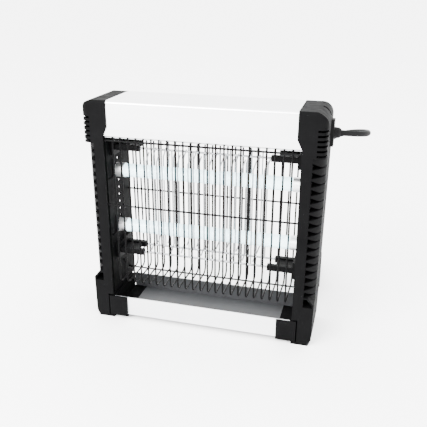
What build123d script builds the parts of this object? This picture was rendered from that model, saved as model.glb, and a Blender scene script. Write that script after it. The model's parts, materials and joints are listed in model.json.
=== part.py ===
from build123d import *

import os
from math import cos, pi, radians, sin, tan

# Electric insect killer: two upright moulded side frames, a folded aluminium housing on top,
# two lamps between two high-voltage grids, a wire guard round them and a pull-out tray.
# Millimetres. X runs across the front, the front faces -Y, +Z is up.
# The origin is on the ground, under the middle of the body.

# ---- driving dimensions ----
WIDTH = 260.0
DEPTH = 66.0
HEIGHT = 260.0
HALF_W = WIDTH / 2
HALF_D = DEPTH / 2

# Side frames: half widths from the middle, and heights
SHOULDER_BOTTOM = 214.0
COLUMN_IN = 106.0
CAP_IN = 101.0
CAP_BEVEL_TOP = 232.0
CAP_BEVEL_BOTTOM = 222.0
FOOT_IN = 112.3
LEDGE_TOP = 2.2
COLUMN_BOTTOM = 30.6
TOP_ROUND = 13.0
SHOULDER_ROUND = 8.0
EDGE_ROUND = 3.0
WALL = 2.0

# Louvres round the outer front corner of each column: slots that narrow towards the outside
LOUVRE_IN = 117.0
LOUVRE_TIP = 126.5
LOUVRE_BACK = 18.0
LOUVRE_COUNT = 17
LOUVRE_PITCH = 8.95
LOUVRE_TOP = 209.6
SLOT_TALL = 7.2
SLOT_THIN = 1.2
CORNER_MIDDLE = (124.6, -25.4)
CORNER_END = -12.0
COLUMN_FROM = 40.0
FOOT_TOP_IN = 121.5
FOOT_TOP = (60.0, 51.0)
FOOT_SLOT = (47.6, 57.6)

# Shoulder vents, rear vents and the slots in the inner panels
SHOULDER_VENTS = 6
SHOULDER_VENT_PITCH = 5.0
SHOULDER_VENT_TOP = 241.5
VENT_PITCH = 8.75
VENT_TOP = 197.5
REAR_VENTS = 16
REAR_VENT_TALL = 6.4
REAR_VENT_DROP = 1.6
STRIP_BACK = 20.0
HANG_SLOT_W = 4.0
HANG_SLOT_Y = 5.0

# Inner panels
PANEL_THICK = 1.6
PANEL_BOTTOM = 32.0
PANEL_TOP = 219.0
PANEL_FRONT_Y = -27.0

# Lamps: 6 W fluorescent tubes, 16 mm in diameter
LAMP_ZS = {"upper": 175.7, "lower": 108.0}
LAMP_R = 8.0
LAMP_HALF = 106.05
CAP_LENGTH = 10.0
PIN_R = 1.18
PIN_LENGTH = 7.1
PIN_HALF_GAP = 2.375
LAMP_HOLE_R = 8.6
HOLDER_DEPTH = 7.4
ROTOR_R = 6.3
FIT = 0.05

# Top housing of folded aluminium sheet
COVER_HALF_D = 32.0
COVER_R = 3.5
SHEET = 1.0
COVER_BOTTOM = 222.0
FASCIA_BEND = 230.0
CHASSIS_Z = 219.4
CHASSIS_HALF_D = 27.0

# High-voltage grids: a live comb standing on a bottom rail, a neutral comb hanging from a top rail
GRID_Y = 11.0
GRID_PITCH = 12.0
GRID_WIRE_R = 0.7
RAIL_R = 1.1
TOP_RAIL_Z = 205.8
BOTTOM_RAIL_Z = 80.5
RAIL_HALF = 84.0
BEND_UP = 10.5
BEND_ASIDE = 3.5
TIP_GAP = 4.0
ARM_REACH = (73.0, 78.5)
ARM_BAR = 6.6
ARM_FLANGE = 4.5

# Wire guard
GUARD_WIRES = 23
GUARD_PITCH = 8.82
GUARD_R = 0.95
GUARD_FRONT_Y = -28.4
GUARD_REAR_Y = 25.0
GUARD_BOTTOM_Z = 46.0
GUARD_TOP_Z = 221.0
GUARD_BEND = 7.0
ROD_STEP = 1.75
ROD_HALF = 105.8

# Tray
TRAY_HALF = 88.7
TRAY_OUT = 110.9
TRAY_BOTTOM = 2.5
TRAY_FLOOR = 9.5
TRAY_TOP = 28.2
TRAY_REAR_Y = 31.0

# Screws at the back of each side frame
SCREW_X = 114.0
SCREW_ZS = (20.0, 40.0, 227.0, 248.0)
SCREW_R = 3.2
SCREW_HEAD = 1.4

# Cord
CORD_D = 6.2
CORD_Y = 14.0
CORD_Z = 231.0
RELIEF_OUT = 140.0

os.makedirs("parts", exist_ok=True)


def save(piece, label):
    """Name a finished piece and write it."""
    piece.label = label
    export_step(piece, "parts/" + label + ".step")


def save_pair(piece, label):
    """Write the right-hand piece and its mirror image on the left."""
    save(piece, label + "_right")
    with BuildPart() as twin:
        mirror(piece, about=Plane.YZ)
    save(twin.part, label + "_left")


def front_plane(y):
    """A sketch plane that faces the front at depth y: X is local X and Z is local Y."""
    return Plane.XZ.offset(-y)


def plan_sketch(corner):
    """The side frame seen from above, with its outer front corner rounded."""
    with BuildSketch() as plan:
        with Locations(((90 + HALF_W) / 2, 0)):
            Rectangle(HALF_W - 90, DEPTH)
        fillet(plan.vertices().sort_by_distance((HALF_W, -HALF_D))[0], corner)
        fillet(plan.vertices().sort_by_distance((HALF_W, HALF_D))[0], EDGE_ROUND)
    return plan.sketch


# ---- side frames ----
def frame_foot():
    """The foot, with a slanting top outside the column."""
    with BuildPart() as foot:
        with BuildSketch(front_plane(-HALF_D)):
            with BuildLine():
                Polyline(
                    (COLUMN_IN, COLUMN_BOTTOM),
                    (FOOT_IN, COLUMN_BOTTOM),
                    (FOOT_IN, LEDGE_TOP),
                    (COLUMN_IN, LEDGE_TOP),
                    (COLUMN_IN, 0),
                    (124.8, 0),
                    (128.2, 7.4),
                    (128.8, FOOT_TOP[1]),
                    (FOOT_TOP_IN, FOOT_TOP[0]),
                    (COLUMN_IN, FOOT_TOP[0]),
                    close=True,
                )
            make_face()
        extrude(amount=-DEPTH)
        extrude(plan_sketch(EDGE_ROUND), amount=HEIGHT, mode=Mode.INTERSECT)
    return foot.part


def frame_column():
    """The column up to the shoulder: its outer front corner is one long, gentle curve."""
    with BuildPart() as column:
        with BuildSketch(Plane.XY.offset(COLUMN_FROM)) as plan:
            with BuildLine():
                Polyline((COLUMN_IN, HALF_D), (COLUMN_IN, -HALF_D), (LOUVRE_IN, -HALF_D))
                ThreePointArc((LOUVRE_IN, -HALF_D), CORNER_MIDDLE, (HALF_W, CORNER_END))
                Polyline((HALF_W, CORNER_END), (HALF_W, HALF_D), (COLUMN_IN, HALF_D))
            make_face()
            fillet(plan.vertices().sort_by_distance((HALF_W, HALF_D))[0], EDGE_ROUND)
        extrude(amount=SHOULDER_BOTTOM - COLUMN_FROM)
        with BuildSketch(front_plane(-HALF_D)):
            Polygon(
                (COLUMN_IN, COLUMN_FROM),
                (128.4, COLUMN_FROM),
                (HALF_W, SHOULDER_BOTTOM),
                (COLUMN_IN, SHOULDER_BOTTOM),
                align=None,
            )
        extrude(amount=-DEPTH, mode=Mode.INTERSECT)
    return column.part


def frame_cap():
    """The shoulder and cap, rounded over at the top outer corner."""
    with BuildPart() as cap:
        with BuildSketch(front_plane(-HALF_D)) as outline:
            with BuildLine():
                Polyline(
                    (COLUMN_IN, SHOULDER_BOTTOM),
                    (HALF_W, SHOULDER_BOTTOM),
                    (HALF_W, HEIGHT),
                    (CAP_IN, HEIGHT),
                    (CAP_IN, CAP_BEVEL_TOP),
                    (COLUMN_IN, CAP_BEVEL_BOTTOM),
                    close=True,
                )
            make_face()
            fillet(outline.vertices().sort_by_distance((HALF_W, HEIGHT))[0], TOP_ROUND)
        extrude(amount=-DEPTH)
        extrude(plan_sketch(SHOULDER_ROUND), amount=HEIGHT, mode=Mode.INTERSECT)
        with BuildSketch(Plane.YZ.offset(90)) as side:
            with Locations((0, HEIGHT / 2)):
                Rectangle(DEPTH, HEIGHT)
            fillet(side.vertices().group_by(Axis.Y)[-1], EDGE_ROUND)
        extrude(amount=50, mode=Mode.INTERSECT)
    return cap.part


def side_frame(cord_inlet):
    """One moulded side frame, on the right, hollow inside."""
    inside = HALF_D - WALL
    with BuildPart() as frame:
        add(frame_foot())
        add(frame_column())
        add(frame_cap())
        # wiring space behind the inner panel, open to the cap's hollow
        with BuildSketch(front_plane(-inside)):
            with BuildLine():
                Polyline(
                    (COLUMN_IN - 1, 50),
                    (LOUVRE_IN - 1.8, 50),
                    (LOUVRE_IN - 1.8, SHOULDER_BOTTOM),
                    (HALF_W - 2.5, SHOULDER_BOTTOM + 3),
                    (HALF_W - 2.5, HEIGHT - TOP_ROUND - 1),
                    (HALF_W - TOP_ROUND - 1, HEIGHT - 2.5),
                    (CAP_IN - 1, HEIGHT - 2.5),
                    (CAP_IN - 1, CAP_BEVEL_BOTTOM + 1),
                    (COLUMN_IN - 1, CAP_BEVEL_BOTTOM - 2),
                    close=True,
                )
            make_face()
        extrude(amount=-2 * inside, mode=Mode.SUBTRACT)
        # recess that takes the inner panel
        with BuildSketch(front_plane(-inside)):
            with Locations((COLUMN_IN, (PANEL_BOTTOM + PANEL_TOP) / 2)):
                Rectangle(2 * PANEL_THICK + 0.2, PANEL_TOP - PANEL_BOTTOM + 0.2)
        extrude(amount=-2 * inside, mode=Mode.SUBTRACT)
        # hollow of the rear strip
        with BuildSketch(front_plane(STRIP_BACK)):
            with Locations(((COLUMN_IN + HALF_W - 3.2) / 2, (50 + SHOULDER_BOTTOM) / 2)):
                Rectangle(HALF_W - 3.2 - COLUMN_IN, SHOULDER_BOTTOM - 50)
        extrude(amount=STRIP_BACK - inside, mode=Mode.SUBTRACT)
        # hollow of the foot, open underneath
        with BuildSketch():
            with Locations(((FOOT_IN + 2 + 126) / 2, 0)):
                Rectangle(126 - FOOT_IN - 2, 2 * inside)
        extrude(amount=FOOT_SLOT[0] - 3, mode=Mode.SUBTRACT)
        # louvres, level below and slanting above, and the last one in the top of the foot
        with BuildSketch(front_plane(-HALF_D - 1)):
            slot_tops = [LOUVRE_TOP - i * LOUVRE_PITCH for i in range(LOUVRE_COUNT)]
            with Locations([(LOUVRE_IN, top - SLOT_TALL) for top in slot_tops]):
                Polygon(
                    (0, 0),
                    (HALF_W + 1 - LOUVRE_IN, 0),
                    (HALF_W + 1 - LOUVRE_IN, SLOT_THIN),
                    (LOUVRE_TIP - LOUVRE_IN, SLOT_THIN),
                    (0, SLOT_TALL),
                    align=None,
                )
            Polygon(
                (LOUVRE_IN, FOOT_SLOT[0]),
                (127.0, FOOT_SLOT[0]),
                (127.0, 50.6),
                (FOOT_TOP_IN - 0.6, FOOT_SLOT[1]),
                (LOUVRE_IN, FOOT_SLOT[1]),
                align=None,
            )
        extrude(amount=-(HALF_D + 1 + LOUVRE_BACK), mode=Mode.SUBTRACT)
        # vents in the rounded front corner of the shoulder
        vent_heights = [SHOULDER_VENT_TOP - i * SHOULDER_VENT_PITCH for i in range(SHOULDER_VENTS)]
        with Locations([(126, -29, z) for z in vent_heights]):
            Box(11, 12, 2.3, mode=Mode.SUBTRACT)
        # rear vents
        rear_heights = [VENT_TOP - REAR_VENT_DROP - i * VENT_PITCH for i in range(REAR_VENTS)]
        with Locations([(119.7, inside, z) for z in rear_heights]):
            Box(10, 6, REAR_VENT_TALL, mode=Mode.SUBTRACT)
        # hanging slot across the rounded top corner
        corner = TOP_ROUND * cos(radians(45))
        middle = (HALF_W - TOP_ROUND + corner, HANG_SLOT_Y, HEIGHT - TOP_ROUND + corner)
        with Locations(Location(middle, (0, 45, 0))):
            Box(12, HANG_SLOT_W, 12, mode=Mode.SUBTRACT)
        # counterbores for the screws at the back
        with Locations([Location((SCREW_X, HALF_D, z), (90, 0, 0)) for z in SCREW_ZS]):
            Cylinder(SCREW_R + 0.15, 2 * SCREW_HEAD + 0.1, mode=Mode.SUBTRACT)
        if cord_inlet:
            with Locations(Location((HALF_W, CORD_Y, CORD_Z), (0, 90, 0))):
                Cylinder(4.6, 10, mode=Mode.SUBTRACT)
    return frame.part


def inner_panel():
    """The plate that closes a side frame and carries the lamp holders and insulators."""
    back = HALF_D - WALL - 0.1
    with BuildPart() as panel:
        with Locations((COLUMN_IN, PANEL_FRONT_Y, PANEL_BOTTOM)):
            Box(
                PANEL_THICK,
                back - PANEL_FRONT_Y,
                PANEL_TOP - PANEL_BOTTOM,
                align=(Align.MIN, Align.MIN, Align.MIN),
            )
        for z in LAMP_ZS.values():
            with Locations(Location((COLUMN_IN, 0, z), (0, 90, 0))):
                Cylinder(LAMP_HOLE_R, 10, mode=Mode.SUBTRACT)
            # shallow recess in front of each lamp
            with Locations((COLUMN_IN, -18.7, z + 5.5)):
                Box(1.6, 14.5, 21, mode=Mode.SUBTRACT)
        slots = [VENT_TOP - i * VENT_PITCH for i in range(10)]
        clear = [z for z in slots if min(abs(z - lamp) for lamp in LAMP_ZS.values()) > 10.5]
        with Locations([(COLUMN_IN, 2.5, z) for z in clear]):
            Box(10, 4.6, 2.8, mode=Mode.SUBTRACT)
        # stiffening rib low down at the back
        with BuildSketch(Plane.YZ.offset(COLUMN_IN - 1.2)):
            Polygon((2, 62), (24, 44), (24, 41), (2, 59), align=None)
        extrude(amount=1.3)
    return panel.part


save(side_frame(True), "side_frame_right")
with BuildPart() as side_frame_left:
    mirror(side_frame(False), about=Plane.YZ)
save(side_frame_left.part, "side_frame_left")
save_pair(inner_panel(), "inner_panel")

# ---- top housing ----
with BuildPart() as top_cover:
    with BuildSketch(Plane.YZ) as sheet:
        with BuildLine():
            Polyline(
                (-COVER_HALF_D + 1.4, COVER_BOTTOM),
                (-COVER_HALF_D, FASCIA_BEND),
                (-COVER_HALF_D, HEIGHT),
                (COVER_HALF_D, HEIGHT),
                (COVER_HALF_D, FASCIA_BEND),
                (COVER_HALF_D - 1.4, COVER_BOTTOM),
                close=True,
            )
        make_face()
        fillet(sheet.vertices().group_by(Axis.Y)[-1], COVER_R)
        with BuildSketch(mode=Mode.SUBTRACT) as hollow:
            with BuildLine():
                Polyline(
                    (-COVER_HALF_D + 1.4 + SHEET, COVER_BOTTOM - 0.1),
                    (-COVER_HALF_D + SHEET, FASCIA_BEND),
                    (-COVER_HALF_D + SHEET, HEIGHT - SHEET),
                    (COVER_HALF_D - SHEET, HEIGHT - SHEET),
                    (COVER_HALF_D - SHEET, FASCIA_BEND),
                    (COVER_HALF_D - 1.4 - SHEET, COVER_BOTTOM - 0.1),
                    close=True,
                )
            make_face()
            fillet(hollow.vertices().group_by(Axis.Y)[-1], COVER_R - SHEET)
    extrude(amount=COLUMN_IN, both=True)
    # ends cut to the slant of the caps
    with BuildSketch(front_plane(-HALF_D)):
        Polygon(
            (-CAP_IN + 0.1, HEIGHT + 1),
            (-CAP_IN + 0.1, CAP_BEVEL_TOP),
            (-COLUMN_IN + 0.1, CAP_BEVEL_BOTTOM),
            (COLUMN_IN - 0.1, CAP_BEVEL_BOTTOM),
            (CAP_IN - 0.1, CAP_BEVEL_TOP),
            (CAP_IN - 0.1, HEIGHT + 1),
            align=None,
        )
    extrude(amount=-DEPTH, mode=Mode.INTERSECT)
    # fine groove along the top of the fascia
    with Locations((0, -COVER_HALF_D, 256)):
        Box(2 * CAP_IN, 0.6, 0.8, mode=Mode.SUBTRACT)
save(top_cover.part, "top_cover")

with BuildPart() as chassis_plate:
    with Locations((0, 0, CHASSIS_Z)):
        Box(
            2 * COLUMN_IN - 0.2,
            2 * CHASSIS_HALF_D,
            SHEET,
            align=(Align.CENTER, Align.CENTER, Align.MIN),
        )
    flange_y = CHASSIS_HALF_D - SHEET / 2
    with Locations([(0, side * flange_y, CHASSIS_Z) for side in (-1, 1)]):
        Box(200, SHEET, 10, align=(Align.CENTER, Align.CENTER, Align.MIN))
save(chassis_plate.part, "chassis_plate")

# ---- electrics inside the housing ----
INSIDE_Z = CHASSIS_Z + SHEET
CORE = (42.0, 20.0, 34.0)
LIMB = 10.0
WINDOW = (8.0, 20.0)
core_x = -58.0
with BuildPart() as transformer_core:
    with Locations((core_x, 0, INSIDE_Z + CORE[2] / 2)):
        Box(*CORE)
    window_x = (LIMB + WINDOW[0]) / 2
    with Locations([(core_x + side * window_x, 0, INSIDE_Z + CORE[2] / 2) for side in (-1, 1)]):
        Box(WINDOW[0], 30, WINDOW[1], mode=Mode.SUBTRACT)
save(transformer_core.part, "transformer_core")

with BuildPart() as transformer_coil:
    with Locations((core_x, 0, INSIDE_Z + CORE[2] / 2)):
        Box(LIMB + 2 * WINDOW[0] - 0.4, 36, WINDOW[1] - 0.4)
        Box(LIMB + 0.4, CORE[1] + 0.4, 40, mode=Mode.SUBTRACT)
save(transformer_coil.part, "transformer_coil")

with BuildPart() as lamp_ballasts:
    for x in (-8.0, 30.0):
        with Locations((x, 0, INSIDE_Z + 11)):
            Box(30, 24, 22)
        with Locations((x, 0, INSIDE_Z + 0.75)):
            Box(34, 40, 1.5)
save(lamp_ballasts.part, "lamp_ballasts")

with BuildPart() as lamp_starters:
    with Locations([Location((60, y, INSIDE_Z + 16.5)) for y in (-12.5, 12.5)]):
        Cylinder(10.5, 33)
save(lamp_starters.part, "lamp_starters")

with BuildPart() as terminal_block:
    with Locations((88, 0, INSIDE_Z + 6)):
        Box(16, 34, 12)
    with Locations([(88, -11 + 11 * i, INSIDE_Z + 12) for i in range(3)]):
        Cylinder(2.6, 12, mode=Mode.SUBTRACT)
save(terminal_block.part, "terminal_block")

# ---- lamps and their holders ----


def lamp_holder(z):
    """A rotary holder behind the inner panel, with the bore that its rotor turns in."""
    start = COLUMN_IN + PANEL_THICK
    with BuildPart() as holder:
        with Locations((start + HOLDER_DEPTH / 2, 0, z)):
            Box(HOLDER_DEPTH, 22, 18)
        with BuildSketch(Plane.YZ.offset(start)):
            with Locations((0, z)):
                Circle(ROTOR_R + FIT)
        extrude(amount=4.6, mode=Mode.SUBTRACT)
        with BuildSketch(Plane.YZ.offset(start + 4)):
            with Locations((0, z)):
                Circle(4.2)
        extrude(amount=2.2, mode=Mode.SUBTRACT)
    return holder.part


def lamp_ends(z):
    """The two metal end caps with their pins."""
    with BuildPart() as ends:
        for side in (-1, 1):
            with BuildSketch(Plane.YZ.offset(side * (LAMP_HALF - CAP_LENGTH))):
                with Locations((0, z)):
                    Circle(LAMP_R)
            extrude(amount=side * CAP_LENGTH)
            with BuildSketch(Plane.YZ.offset(side * (LAMP_HALF - CAP_LENGTH))):
                with Locations((0, z)):
                    Circle(LAMP_R - 0.35)
            extrude(amount=side * (CAP_LENGTH - 1), mode=Mode.SUBTRACT)
            with BuildSketch(Plane.YZ.offset(side * (LAMP_HALF - 0.5))):
                with Locations([(0, z + step * PIN_HALF_GAP) for step in (-1, 1)]):
                    Circle(PIN_R)
            extrude(amount=side * (PIN_LENGTH + 0.5))
    return ends.part


def lamp_tube(z):
    """The glass tube, its ends inside the metal caps."""
    with BuildPart() as tube:
        with BuildSketch(Plane.YZ):
            with Locations((0, z)):
                Circle(LAMP_R - 0.4)
                Circle(LAMP_R - 1.2, mode=Mode.SUBTRACT)
        extrude(amount=LAMP_HALF - 1.2, both=True)
    return tube.part


def lamp_rotors(z):
    """The slotted discs that turn with the pins, one in each holder."""
    with BuildPart() as rotors:
        for side in (-1, 1):
            with BuildSketch(Plane.YZ.offset(side * (LAMP_HALF + 0.1))):
                with Locations((0, z)):
                    Circle(ROTOR_R)
                    Rectangle(2.7, 9.2, mode=Mode.SUBTRACT)
            extrude(amount=side * 5.9)
    return rotors.part


for level, height in LAMP_ZS.items():
    save_pair(lamp_holder(height), "lamp_holder_" + level)
    save(lamp_tube(height), "lamp_tube_" + level)
    save(lamp_ends(height), "lamp_ends_" + level)
    save(lamp_rotors(height), "lamp_rotors_" + level)

# ---- high-voltage grids ----


def insulator(rail_z, flange):
    """An arm from the inner panel with a bar for each grid's rail; flange is (bottom, top)."""
    with BuildPart() as arm:
        for reach, y in zip(ARM_REACH, (-GRID_Y, GRID_Y)):
            with Locations(((reach + COLUMN_IN) / 2, y, rail_z)):
                Box(COLUMN_IN - reach, ARM_BAR, ARM_BAR)
        arm_edges = arm.edges().filter_by(Axis.X)
        fillet(arm_edges, 0.8)
        # web between the bars
        with Locations((94, 0, rail_z)):
            Box(24, 2 * GRID_Y, 3)
        # flange against the panel
        with Locations((COLUMN_IN - ARM_FLANGE / 2, 3, rail_z + (flange[0] + flange[1]) / 2)):
            Box(ARM_FLANGE, 38, flange[1] - flange[0])
        for reach, y in zip(ARM_REACH, (-GRID_Y, GRID_Y)):
            with Locations(Location((reach, y, rail_z), (0, 90, 0))):
                Cylinder(RAIL_R + 0.15, 2 * (RAIL_HALF + 0.15 - reach), mode=Mode.SUBTRACT)
    return arm.part


def grid_comb(wires, rail_z, tip_z, lean, y):
    """One rail with its row of wires, whose free ends lean aside by lean."""
    up = 1 if tip_z > rail_z else -1
    with BuildPart() as comb:
        with Locations(Location((0, y, rail_z), (0, 90, 0))):
            Cylinder(RAIL_R, 2 * RAIL_HALF)
        for x in wires:
            with BuildLine() as run:
                Polyline((x, y, rail_z), (x, y, tip_z - up * BEND_UP), (x + lean, y, tip_z))
            with BuildSketch(Plane((x, y, rail_z), z_dir=(0, 0, up))):
                Circle(GRID_WIRE_R)
            sweep(path=run.line, transition=Transition.ROUND)
    return comb.part


live_wires = [GRID_PITCH * (i - 5.5) for i in range(12)]
neutral_wires = [GRID_PITCH * (i - 5) for i in range(11)]
for name, y in (("front", -GRID_Y), ("rear", GRID_Y)):
    live = grid_comb(live_wires, BOTTOM_RAIL_Z, TOP_RAIL_Z - TIP_GAP, BEND_ASIDE, y)
    neutral = grid_comb(neutral_wires, TOP_RAIL_Z, BOTTOM_RAIL_Z + TIP_GAP, -BEND_ASIDE, y)
    save(live, "grid_" + name + "_live")
    save(neutral, "grid_" + name + "_neutral")
save_pair(insulator(TOP_RAIL_Z, (-9, 8)), "insulator_top")
save_pair(insulator(BOTTOM_RAIL_Z, (-9, 10.5)), "insulator_bottom")

# ---- wire guard ----
guard_xs = [GUARD_PITCH * (i - (GUARD_WIRES - 1) / 2) for i in range(GUARD_WIRES)]
BEND_TOP = GUARD_BOTTOM_Z + GUARD_BEND


def guard_side(y, top, rods):
    """Upright wires at depth y with cross rods: rods are (height, outward step)."""
    with BuildPart() as side:
        with Locations([(x, y, (top + BEND_TOP) / 2) for x in guard_xs]):
            Cylinder(GUARD_R, top - BEND_TOP)
        with Locations([Location((0, y + step, z), (0, 90, 0)) for z, step in rods]):
            Cylinder(GUARD_R, 2 * ROD_HALF)
    return side.part


def guard_floor():
    """The wires' lower bends and level runs, with the rod beneath them."""
    with BuildPart() as floor:
        with BuildLine() as run:
            FilletPolyline(
                (guard_xs[0], GUARD_FRONT_Y, BEND_TOP),
                (guard_xs[0], GUARD_FRONT_Y, GUARD_BOTTOM_Z),
                (guard_xs[0], GUARD_REAR_Y, GUARD_BOTTOM_Z),
                (guard_xs[0], GUARD_REAR_Y, BEND_TOP),
                radius=GUARD_BEND - 0.01,
            )
        with BuildSketch(Plane((guard_xs[0], GUARD_FRONT_Y, BEND_TOP), z_dir=(0, 0, -1))):
            Circle(GUARD_R)
        wire = sweep(path=run.line)
        with Locations([(x - guard_xs[0], 0, 0) for x in guard_xs[1:]]):
            add(wire)
        with Locations(Location((0, 17, GUARD_BOTTOM_Z - ROD_STEP), (0, 90, 0))):
            Cylinder(GUARD_R, 2 * ROD_HALF)
    return floor.part


save(guard_side(GUARD_FRONT_Y, GUARD_TOP_Z, [(217, -ROD_STEP), (143.5, -ROD_STEP)]), "guard_front")
save(guard_side(GUARD_REAR_Y, CHASSIS_Z - 0.3, [(217, ROD_STEP), (144.5, ROD_STEP)]), "guard_rear")
save(guard_floor(), "guard_floor")

# ---- tray ----
with BuildPart() as tray_pan:
    with Locations((0, -30.3, TRAY_FLOOR)):
        Box(
            2 * TRAY_HALF - 0.2,
            30.3 + TRAY_REAR_Y,
            SHEET,
            align=(Align.CENTER, Align.MIN, Align.MIN),
        )
    with Locations((0, TRAY_REAR_Y - SHEET, TRAY_FLOOR)):
        Box(208, SHEET, 28.6 - TRAY_FLOOR, align=(Align.CENTER, Align.MIN, Align.MIN))
save(tray_pan.part, "tray_pan")

with BuildPart() as tray_front:
    with Locations((0, -31, (5.5 + TRAY_TOP) / 2)):
        Box(208, 1.2, TRAY_TOP - 5.5)
save(tray_front.part, "tray_front")


def tray_end():
    """The moulded end of the tray, which wraps round the end of its front panel."""
    middle = (TRAY_HALF + TRAY_OUT) / 2
    span = TRAY_OUT - TRAY_HALF
    low = (Align.CENTER, Align.MIN, Align.MIN)
    with BuildPart() as end:
        with Locations((middle, -HALF_D, TRAY_BOTTOM)):
            Box(span, 1.35, TRAY_TOP - TRAY_BOTTOM, align=low)
            Box(span, HALF_D + 29.9, 2.8, align=low)
        with Locations((middle, -30.3, TRAY_BOTTOM)):
            Box(span, 30.3 + 29.9, 8.1, align=low)
        with Locations(((104.6 + TRAY_OUT) / 2, -HALF_D, TRAY_BOTTOM)):
            Box(TRAY_OUT - 104.6, HALF_D + 29.9, TRAY_TOP - TRAY_BOTTOM, align=low)
        fillet(end.edges().filter_by(Axis.X).group_by(Axis.Y)[0].sort_by(Axis.Z)[0], 1.0)
    return end.part


save_pair(tray_end(), "tray_end")

# ---- screws that hold the frames to the chassis and cover, at the back ----
with BuildPart() as frame_screws:
    for side in (-1, 1):
        for z in SCREW_ZS:
            with Locations(Location((side * SCREW_X, HALF_D, z), (90, 0, 0))):
                Cylinder(SCREW_R, SCREW_HEAD, align=(Align.CENTER, Align.CENTER, Align.MIN))
            with Locations((side * SCREW_X, HALF_D, z)):
                Box(4.4, 1.2, 0.9, mode=Mode.SUBTRACT)
                Box(0.9, 1.2, 4.4, mode=Mode.SUBTRACT)
save(frame_screws.part, "frame_screws")

# ---- cord and what is on it ----
with BuildPart() as strain_relief:
    relief_axis = Plane((118, CORD_Y, CORD_Z), x_dir=(0, 1, 0), z_dir=(1, 0, 0))
    with BuildSketch(relief_axis):
        Circle(4.5)
    extrude(amount=HALF_W - 118)
    with BuildSketch(relief_axis.offset(HALF_W - 118)):
        RectangleRounded(14, 28.5, 3)
    extrude(amount=3)
    with BuildSketch(relief_axis.offset(HALF_W + 3 - 118)):
        Circle(6.0)
    with BuildSketch(relief_axis.offset(RELIEF_OUT - 2 - 118)):
        Circle(5.4)
    loft()
    with BuildSketch(relief_axis.offset(RELIEF_OUT - 2 - 118)):
        Circle(5.4)
    with BuildSketch(relief_axis.offset(RELIEF_OUT - 118)):
        Circle(4.0)
    loft()
save(strain_relief.part, "strain_relief")

# The loose part of the cord leaves level, turns back on itself beside the cap, drops behind
# the right-hand frame and goes into a tied hank that stands on the ground in line with the frame.
CORD_ROUTE = [
    (RELIEF_OUT, 14.0, 231.0),
    (151.1, 14.0, 231.0),
    (160.8, 19.5, 230.0),
    (166.7, 29.5, 228.6),
    (166.6, 41.0, 227.0),
    (160.4, 51.0, 225.0),
    (149.8, 57.6, 222.6),
    (135.5, 61.5, 218.5),
    (122.5, 65.0, 209.5),
    (114.8, 68.5, 194.0),
    (112.0, 70.6, 168.0),
    (112.6, 69.6, 127.0),
    (111.6, 70.8, 84.0),
    (112.0, 70.0, 48.0),
    (112.6, 71.4, 29.0),
    (115.2, 78.6, 12.8),
    (118.7, 90.2, 5.0),
    (121.1, 103.0, 4.3),
]
HANK_MIDDLE = (106.6, 126.4)
HANK_TURN = 4.7
HANK_STRAIGHT = 58.0
HANK_FOLD = 37.2
HANK_LAYERS = 5
TIE = 1.2
PLUG = (32.0, 22.0, 18.0)
PLUG_FROM = 21.0
BLADE_GAP = 12.7
BLADE = (16.0, 1.5, 6.3)

hank_plane = Plane(
    (*HANK_MIDDLE, 0),
    x_dir=(-sin(radians(HANK_TURN)), cos(radians(HANK_TURN)), 0),
    z_dir=(0, 0, 1),
)
HANK_TOP = TIE + HANK_FOLD + CORD_D
HANK_WIDE = HANK_LAYERS * CORD_D
LAST_LAYER = -(HANK_WIDE - CORD_D) / 2
BOTTOM_RUN_Z = TIE + CORD_D / 2
PLUG_AXIS_Z = HANK_TOP + TIE + PLUG[2] / 2 + 0.1


def on_hank(along, right, z):
    """A point given along the hank from its middle, to the right of it, and above the ground."""
    return tuple(hank_plane.from_local_coords(Vector(along, -right, z)))


# the last turn is a wider one, which rises round the hank's far end to the plug on top
TAIL_RADIUS = (PLUG_AXIS_Z - BOTTOM_RUN_Z) / 2
TAIL_SIDE = TAIL_RADIUS * tan(radians(22.5))
TAIL_END = HANK_STRAIGHT / 2 + TAIL_RADIUS
TAIL_ROUTE = [
    on_hank(HANK_STRAIGHT / 2 - 8, LAST_LAYER, BOTTOM_RUN_Z),
    on_hank(HANK_STRAIGHT / 2 + TAIL_SIDE, LAST_LAYER, BOTTOM_RUN_Z),
    on_hank(TAIL_END, LAST_LAYER + 2, BOTTOM_RUN_Z + TAIL_RADIUS - TAIL_SIDE),
    on_hank(TAIL_END, LAST_LAYER + 6, BOTTOM_RUN_Z + TAIL_RADIUS + TAIL_SIDE),
    on_hank(HANK_STRAIGHT / 2 + TAIL_SIDE, -0.5, PLUG_AXIS_Z),
    on_hank(PLUG_FROM, 0, PLUG_AXIS_Z),
]


def corner_radii(points):
    """The radius of each corner's arc: 0.45 of the shorter run over the tangent of half the turn."""
    radii = []
    for before, at, after in zip(points, points[1:], points[2:]):
        first = Vector(*at) - Vector(*before)
        second = Vector(*after) - Vector(*at)
        turn = radians(first.get_angle(second))
        radii.append(0.45 * min(first.length, second.length) / tan(turn / 2))
    return radii


def cord_tube(points):
    """A round tube along straight runs joined by tangent arcs."""
    radii = corner_radii(points)
    with BuildPart() as tube:
        with BuildLine() as route:
            FilletPolyline(*points, radius=radii)
        first_run = Vector(*points[1]) - Vector(*points[0])
        with BuildSketch(Plane(points[0], z_dir=first_run)):
            Circle(CORD_D / 2)
        sweep(path=route.line)
    length = sum(edge.length for edge in route.edges())
    ratio = tube.part.volume / (pi * (CORD_D / 2) ** 2 * length)
    print("cord radii:", [round(r, 1) for r in radii], "length", round(length, 1),
          "volume ratio", round(ratio, 4))
    return tube.part


with BuildPart() as power_cord:
    add(cord_tube(CORD_ROUTE))
    add(cord_tube(TAIL_ROUTE))
save(power_cord.part, "power_cord")

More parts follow.
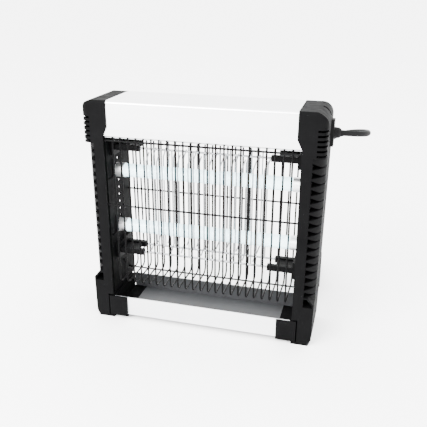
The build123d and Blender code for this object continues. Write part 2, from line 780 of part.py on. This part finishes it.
hank_centre = on_hank(0, 0, (TIE + HANK_TOP) / 2)
hank_side = Plane(hank_centre, x_dir=hank_plane.x_dir, z_dir=hank_plane.y_dir)
with BuildPart() as cord_hank:
    with BuildSketch(hank_side):
        SlotCenterToCenter(HANK_STRAIGHT, HANK_FOLD + CORD_D)
    extrude(amount=HANK_WIDE / 2, both=True)
save(cord_hank.part, "cord_hank")

with BuildPart() as cord_tie:
    tie_centre = on_hank(-14, 0, (HANK_TOP + TIE) / 2)
    with BuildSketch(Plane(tie_centre, x_dir=hank_plane.y_dir, z_dir=hank_plane.x_dir)):
        Rectangle(HANK_WIDE + 2 * TIE + 0.2, HANK_TOP + TIE)
        Rectangle(HANK_WIDE + 0.1, HANK_TOP - TIE + 0.02, mode=Mode.SUBTRACT)
    extrude(amount=6, both=True)
save(cord_tie.part, "cord_tie")

plug_plane = Plane(TAIL_ROUTE[-1], x_dir=hank_plane.y_dir, z_dir=-hank_plane.x_dir)
with BuildPart() as plug_body:
    with BuildSketch(plug_plane):
        RectangleRounded(12, 10, 4)
    with BuildSketch(plug_plane.offset(10)):
        RectangleRounded(PLUG[1], PLUG[2], 5)
    loft()
    with BuildSketch(plug_plane.offset(10)):
        RectangleRounded(PLUG[1], PLUG[2], 5)
    extrude(amount=PLUG[0] - 10)
    fillet(plug_body.faces().sort_by(Axis.Y)[0].edges(), 1.5)
save(plug_body.part, "plug_body")

with BuildPart() as plug_blades:
    with BuildSketch(plug_plane.offset(PLUG[0])):
        with Locations((-BLADE_GAP / 2, 0), (BLADE_GAP / 2, 0)):
            Rectangle(BLADE[1], BLADE[2])
    extrude(amount=BLADE[0])
save(plug_blades.part, "plug_blades")
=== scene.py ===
import json
from math import cos, pi, radians, sin

import bpy
from mathutils import Matrix, Vector


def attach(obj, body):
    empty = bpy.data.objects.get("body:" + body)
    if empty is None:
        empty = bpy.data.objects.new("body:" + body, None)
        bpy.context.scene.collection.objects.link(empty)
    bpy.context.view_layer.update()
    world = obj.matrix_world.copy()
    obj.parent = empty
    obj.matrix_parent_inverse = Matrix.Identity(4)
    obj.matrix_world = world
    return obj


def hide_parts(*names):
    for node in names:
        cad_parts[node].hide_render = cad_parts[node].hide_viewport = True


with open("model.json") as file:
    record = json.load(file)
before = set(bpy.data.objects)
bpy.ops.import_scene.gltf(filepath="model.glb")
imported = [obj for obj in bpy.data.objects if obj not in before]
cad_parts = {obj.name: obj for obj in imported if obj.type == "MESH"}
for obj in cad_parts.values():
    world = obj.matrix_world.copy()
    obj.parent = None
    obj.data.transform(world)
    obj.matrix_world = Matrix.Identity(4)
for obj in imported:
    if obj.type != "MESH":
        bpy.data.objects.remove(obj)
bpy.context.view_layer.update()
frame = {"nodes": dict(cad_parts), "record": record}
nodes = frame["nodes"]

# ---- camera: metres and degrees, in the row frame ----
CAMERA_AT = (0.1651, -0.5824, 0.3706)
CAMERA_YAW = 15.1
CAMERA_PITCH = -21.49
CAMERA_ROLL = 0.2
CAMERA_LENS = 48.57

# ---- cord ----
CORD_D = 0.0062
HANK_MIDDLE = Vector((0.1066, 0.1264, 0))
HANK_TURN = 4.7
HANK_HALF_STRAIGHT = 0.029
HANK_RADIUS = 0.0186
HANK_TURNS = 4
HANK_END = 0.021
HANK_FIRST = 0.0124
BOTTOM_RUN_Z = 0.0043
POINTS_PER_TURN = 40

# ---- light: watts for the soft boxes, and the point that they face ----
WORLD_STRENGTH = 6.5
KEY_WATTS = 150
FILL_WATTS = 10
TOP_WATTS = 8
LIGHT_AIM = Vector((0, 0, 0.12))


def make_camera():
    """The camera at the photograph's viewing angle."""
    data = bpy.data.cameras.new("camera")
    data.lens = CAMERA_LENS
    camera = bpy.data.objects.new("camera", data)
    turn = Matrix.Rotation(radians(CAMERA_YAW), 4, "Z")
    tilt = Matrix.Rotation(radians(90 + CAMERA_PITCH), 4, "X")
    roll = Matrix.Rotation(radians(CAMERA_ROLL), 4, "Z")
    camera.matrix_world = Matrix.Translation(CAMERA_AT) @ turn @ tilt @ roll
    bpy.context.scene.collection.objects.link(camera)
    bpy.context.scene.camera = camera


make_camera()

# ---- materials ----


def material(name, color, roughness, metallic=0.0, **sockets):
    """A principled material; sockets are further inputs of its shader, by name."""
    made = bpy.data.materials.new(name)
    made.use_nodes = True
    shader = made.node_tree.nodes["Principled BSDF"]
    shader.inputs["Base Color"].default_value = (*color, 1)
    shader.inputs["Roughness"].default_value = roughness
    shader.inputs["Metallic"].default_value = metallic
    for socket, value in sockets.items():
        shader.inputs[socket.replace("_", " ")].default_value = value
    return made


def noise(made, scale, detail=3.0, stretch=(1, 1, 1)):
    """A noise texture in the object's own metres; stretch scales each axis."""
    tree = made.node_tree
    place = tree.nodes.new("ShaderNodeTexCoord")
    mapping = tree.nodes.new("ShaderNodeMapping")
    mapping.inputs["Scale"].default_value = stretch
    texture = tree.nodes.new("ShaderNodeTexNoise")
    texture.inputs["Scale"].default_value = scale
    texture.inputs["Detail"].default_value = detail
    tree.links.new(place.outputs["Object"], mapping.inputs["Vector"])
    tree.links.new(mapping.outputs["Vector"], texture.inputs["Vector"])
    return texture.outputs["Fac"]


def ramp(made, value, low, high, start=0.3, stop=0.7):
    """Maps value from start..stop to low..high, numbers or colours."""
    tree = made.node_tree
    spread = tree.nodes.new("ShaderNodeMapRange")
    spread.inputs["From Min"].default_value = start
    spread.inputs["From Max"].default_value = stop
    tree.links.new(value, spread.inputs["Value"])
    if not isinstance(low, tuple):
        spread.inputs["To Min"].default_value = low
        spread.inputs["To Max"].default_value = high
        return spread.outputs["Result"]
    mix = tree.nodes.new("ShaderNodeMix")
    mix.data_type = "RGBA"
    mix.inputs["A"].default_value = (*low, 1)
    mix.inputs["B"].default_value = (*high, 1)
    tree.links.new(spread.outputs["Result"], mix.inputs["Factor"])
    return mix.outputs["Result"]


def drive(made, socket, value):
    """Feeds a varying value to an input of the material's shader."""
    made.node_tree.links.new(value, made.node_tree.nodes["Principled BSDF"].inputs[socket])


def bump(made, height, distance, strength=1.0):
    """Raises the surface by height times distance metres; bumps add up."""
    tree = made.node_tree
    shader = tree.nodes["Principled BSDF"]
    node = tree.nodes.new("ShaderNodeBump")
    node.inputs["Strength"].default_value = strength
    node.inputs["Distance"].default_value = distance
    tree.links.new(height, node.inputs["Height"])
    if shader.inputs["Normal"].is_linked:
        tree.links.new(shader.inputs["Normal"].links[0].from_socket, node.inputs["Normal"])
    tree.links.new(node.outputs["Normal"], shader.inputs["Normal"])


def moulded_plastic(name, color, roughness, grain, shine=0.5):
    """Moulded plastic with a spark-eroded grain, faint flow marks and slight handling shine."""
    made = material(name, color, roughness, Specular_IOR_Level=shine)
    cloud = noise(made, 35, 4)
    lighter = tuple(min(1, c * 1.35 + 0.0004) for c in color)
    drive(made, "Base Color", ramp(made, cloud, color, lighter, 0.25, 0.8))
    drive(made, "Roughness", ramp(made, noise(made, 120, 5), roughness - 0.06, roughness + 0.08))
    bump(made, noise(made, grain, 2), 0.00004, 0.5)
    bump(made, noise(made, 60, 1), 0.00012, 0.2)
    return made


def brushed_aluminium(name, color, roughness, metallic=1.0):
    """Satin aluminium sheet, brushed along X, with faint rolling streaks and smudges."""
    made = material(name, color, roughness, metallic, Anisotropic=0.35)
    streak = noise(made, 60, 6, (0.6, 40, 40))
    drive(made, "Roughness", ramp(made, streak, roughness - 0.07, roughness + 0.09))
    darker = tuple(c * 0.94 for c in color)
    drive(made, "Base Color", ramp(made, noise(made, 18, 5, (0.5, 3, 3)), darker, color))
    bump(made, noise(made, 90, 4, (0.5, 60, 60)), 0.00002, 0.35)
    return made


def coated_wire(name, color, roughness):
    """Dip-coated steel wire: smooth, a little uneven and only faintly shiny."""
    made = material(name, color, roughness, Specular_IOR_Level=0.04)
    drive(made, "Roughness", ramp(made, noise(made, 300, 4), roughness - 0.08, roughness + 0.1))
    bump(made, noise(made, 500, 3), 0.00006, 0.4)
    return made


def plated_wire(name, color, roughness):
    """Bright plated wire with drawing lines and slight dulling."""
    made = material(name, color, roughness, 1.0)
    drive(made, "Roughness", ramp(made, noise(made, 220, 5), roughness - 0.05, roughness + 0.12))
    darker = tuple(c * 0.85 for c in color)
    drive(made, "Base Color", ramp(made, noise(made, 90, 3), darker, color))
    bump(made, noise(made, 800, 2, (1, 1, 0.1)), 0.00002, 0.3)
    return made


def phosphor_glass(name):
    """A fluorescent tube: white phosphor under clear glass, a little thinner in places."""
    made = material(name, (0.9, 0.945, 0.97), 0.5, 0.0, Coat_Weight=1.0, Coat_Roughness=0.04)
    shader = made.node_tree.nodes["Principled BSDF"]
    shader.inputs["Emission Color"].default_value = (0.6, 0.9, 1, 1)
    shader.inputs["Emission Strength"].default_value = 3.0
    powder = noise(made, 70, 5)
    drive(made, "Base Color", ramp(made, powder, (0.7, 0.87, 0.91), (0.78, 0.91, 0.94)))
    bump(made, noise(made, 1500, 2), 0.00002, 0.3)
    return made


def powder_coat(name, color, roughness):
    """Powder-coated sheet with a light orange peel."""
    made = material(name, color, roughness)
    darker = tuple(c * 0.93 for c in color)
    drive(made, "Base Color", ramp(made, noise(made, 40, 4), darker, color))
    drive(made, "Roughness", ramp(made, noise(made, 200, 4), roughness - 0.05, roughness + 0.08))
    bump(made, noise(made, 900, 2), 0.00006, 0.4)
    return made


def laminated_steel(name):
    """Varnished steel laminations, seen as fine lines."""
    made = material(name, (0.28, 0.27, 0.27), 0.42, 0.9)
    lines = made.node_tree.nodes.new("ShaderNodeTexWave")
    place = made.node_tree.nodes.new("ShaderNodeTexCoord")
    lines.bands_direction = "Y"
    lines.inputs["Scale"].default_value = 320
    lines.inputs["Distortion"].default_value = 0.4
    made.node_tree.links.new(place.outputs["Object"], lines.inputs["Vector"])
    tone = ramp(made, lines.outputs["Fac"], (0.1, 0.09, 0.08), (0.36, 0.35, 0.35))
    drive(made, "Base Color", tone)
    bump(made, lines.outputs["Fac"], 0.0001, 0.6)
    return made


def soft_rubber(name, color):
    """The cord's matt sheath."""
    made = material(
        name, color, 0.62, Sheen_Weight=0.01, Sheen_Roughness=0.5, Specular_IOR_Level=0.07
    )
    drive(made, "Roughness", ramp(made, noise(made, 160, 4), 0.52, 0.7))
    bump(made, noise(made, 1200, 3), 0.00005, 0.4)
    return made


MATERIALS = {
    "black_plastic": moulded_plastic("black_plastic", (0.0012, 0.0012, 0.0013), 0.66, 3200, 0.025),
    "insulator_plastic": moulded_plastic(
        "insulator_plastic", (0.0011, 0.0011, 0.0012), 0.5, 2400, 0.035
    ),
    "holder_plastic": moulded_plastic("holder_plastic", (0.74, 0.74, 0.71), 0.4, 2600),
    "satin_aluminium": brushed_aluminium("satin_aluminium", (0.83, 0.835, 0.845), 0.36),
    # tray_sheet carries painted shade: its base colour is set nearly black, far darker than the
    # mill-finish aluminium sheet itself, so the inside of the tray reads as shaded
    "tray_sheet": brushed_aluminium("tray_sheet", (0.03, 0.031, 0.033), 0.5, 0.1),
    "white_sheet": powder_coat("white_sheet", (0.74, 0.75, 0.76), 0.4),
    "lamp_glass": phosphor_glass("lamp_glass"),
    "lamp_cap_metal": plated_wire("lamp_cap_metal", (0.93, 0.935, 0.94), 0.38),
    "grid_wire": plated_wire("grid_wire", (0.26, 0.263, 0.27), 0.2),
    "guard_wire": coated_wire("guard_wire", (0.0011, 0.0011, 0.0012), 0.42),
    "core_steel": laminated_steel("core_steel"),
    "winding_tape": powder_coat("winding_tape", (0.72, 0.5, 0.06), 0.35),
    "starter_can": powder_coat("starter_can", (0.82, 0.83, 0.84), 0.3),
    "terminal_plastic": moulded_plastic("terminal_plastic", (0.68, 0.67, 0.6), 0.45, 2600),
    "screw_steel": plated_wire("screw_steel", (0.2, 0.2, 0.21), 0.35),
    "cord_rubber": soft_rubber("cord_rubber", (0.0018, 0.0018, 0.002)),
    "tie_strap": soft_rubber("tie_strap", (0.004, 0.004, 0.0043)),
    "blade_brass": plated_wire("blade_brass", (0.78, 0.72, 0.58), 0.25),
}
for part in frame["record"]["subparts"]:
    data = nodes[part["node"]].data
    data.materials.clear()
    data.materials.append(MATERIALS[part["material_slot"]])

# ---- cord: the same route as the CAD tube, then the turns of the hank, then the plug ----
CORD_ROUTE = [
    (0.1400, 0.0140, 0.2310),
    (0.1511, 0.0140, 0.2310),
    (0.1608, 0.0195, 0.2300),
    (0.1667, 0.0295, 0.2286),
    (0.1666, 0.0410, 0.2270),
    (0.1604, 0.0510, 0.2250),
    (0.1498, 0.0576, 0.2226),
    (0.1355, 0.0615, 0.2185),
    (0.1225, 0.0650, 0.2095),
    (0.1148, 0.0685, 0.1940),
    (0.1120, 0.0706, 0.1680),
    (0.1126, 0.0696, 0.1270),
    (0.1116, 0.0708, 0.0840),
    (0.1120, 0.0700, 0.0480),
    (0.1126, 0.0714, 0.0290),
    (0.1152, 0.0786, 0.0128),
    (0.1187, 0.0902, 0.0050),
]
# along the hank from its middle, to its right, and above the ground
TAIL = [
    (0.0395, -0.0124, 0.0043),
    (0.0543, -0.0104, 0.0191),
    (0.0543, -0.0064, 0.0401),
    (0.0395, -0.0005, 0.0549),
    (0.0210, 0.0000, 0.0549),
]


def on_hank(along, right, z):
    """A point given along the hank from its middle, to the right of it, and above the ground."""
    turn = radians(HANK_TURN)
    ahead = Vector((-sin(turn), cos(turn), 0))
    aside = Vector((cos(turn), sin(turn), 0))
    return HANK_MIDDLE + ahead * along + aside * right + Vector((0, 0, z))


def hank_turns():
    """Points along the hank's upright turns, which step aside by one diameter a turn."""
    points = []
    straight = 2 * HANK_HALF_STRAIGHT
    bend = pi * HANK_RADIUS
    lap = 2 * (straight + bend)
    middle_z = BOTTOM_RUN_Z + HANK_RADIUS
    last = HANK_TURNS + (HANK_HALF_STRAIGHT + HANK_END) / lap
    for i in range(round(last * POINTS_PER_TURN)):
        far = i / POINTS_PER_TURN
        at = (far % 1) * lap
        if at < straight:
            along, z = at - HANK_HALF_STRAIGHT, BOTTOM_RUN_Z
        elif at < straight + bend:
            turn = (at - straight) / HANK_RADIUS
            along = HANK_HALF_STRAIGHT + HANK_RADIUS * sin(turn)
            z = middle_z - HANK_RADIUS * cos(turn)
        elif at < 2 * straight + bend:
            along = HANK_HALF_STRAIGHT - (at - straight - bend)
            z = BOTTOM_RUN_Z + 2 * HANK_RADIUS
        else:
            turn = (at - 2 * straight - bend) / HANK_RADIUS
            along = -HANK_HALF_STRAIGHT - HANK_RADIUS * sin(turn)
            z = middle_z + HANK_RADIUS * cos(turn)
        aside = HANK_FIRST - CORD_D * min(far, HANK_TURNS)
        points.append(on_hank(along, aside, z))
    return points


def make_cord():
    """The whole free cord as one smooth curve, from the strain relief to the plug."""
    data = bpy.data.curves.new("cord", "CURVE")
    data.dimensions = "3D"
    data.bevel_depth = CORD_D / 2
    data.bevel_resolution = 6
    data.use_fill_caps = True
    data.resolution_u = 8
    route = [Vector(p) for p in CORD_ROUTE] + hank_turns() + [on_hank(*p) for p in TAIL]
    spline = data.splines.new("NURBS")
    spline.points.add(len(route) - 1)
    for point, place in zip(spline.points, route):
        point.co = (*place, 1)
    spline.order_u = 3
    spline.use_endpoint_u = True
    data.materials.append(MATERIALS["cord_rubber"])
    cord = bpy.data.objects.new("mains_cord", data)
    bpy.context.scene.collection.objects.link(cord)
    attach(cord, "housing")
    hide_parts("power_cord", "cord_hank")


make_cord()

# ---- floor and light ----


def make_stage():
    """A plain pale floor, wide enough to fill every view."""
    bpy.ops.mesh.primitive_plane_add(size=40, location=(0, 0, -0.0002))
    floor = bpy.context.object
    floor.name = "floor"
    floor.data.materials.append(material("floor_white", (0.98, 0.98, 0.98), 0.8))


def soft_light(name, place, size, watts):
    """A square soft box that faces the object."""
    data = bpy.data.lights.new(name, "AREA")
    data.size = size
    data.energy = watts
    light = bpy.data.objects.new(name, data)
    light.location = place
    aim = LIGHT_AIM - Vector(place)
    light.rotation_mode = "QUATERNION"
    light.rotation_quaternion = aim.to_track_quat("-Z", "Y")
    bpy.context.scene.collection.objects.link(light)


def make_light():
    """A bright, even surround, a key from the front left and weak lights from right and top."""
    world = bpy.data.worlds.new("studio")
    world.use_nodes = True
    world.node_tree.nodes["Background"].inputs["Color"].default_value = (1, 1, 1, 1)
    world.node_tree.nodes["Background"].inputs["Strength"].default_value = WORLD_STRENGTH
    bpy.context.scene.world = world
    soft_light("key", (-0.9, -1.6, 1.3), 1.2, KEY_WATTS)
    soft_light("fill", (1.4, -1.0, 0.9), 1.2, FILL_WATTS)
    soft_light("top", (0.1, 0.3, 1.8), 1.4, TOP_WATTS)


make_stage()
make_light()
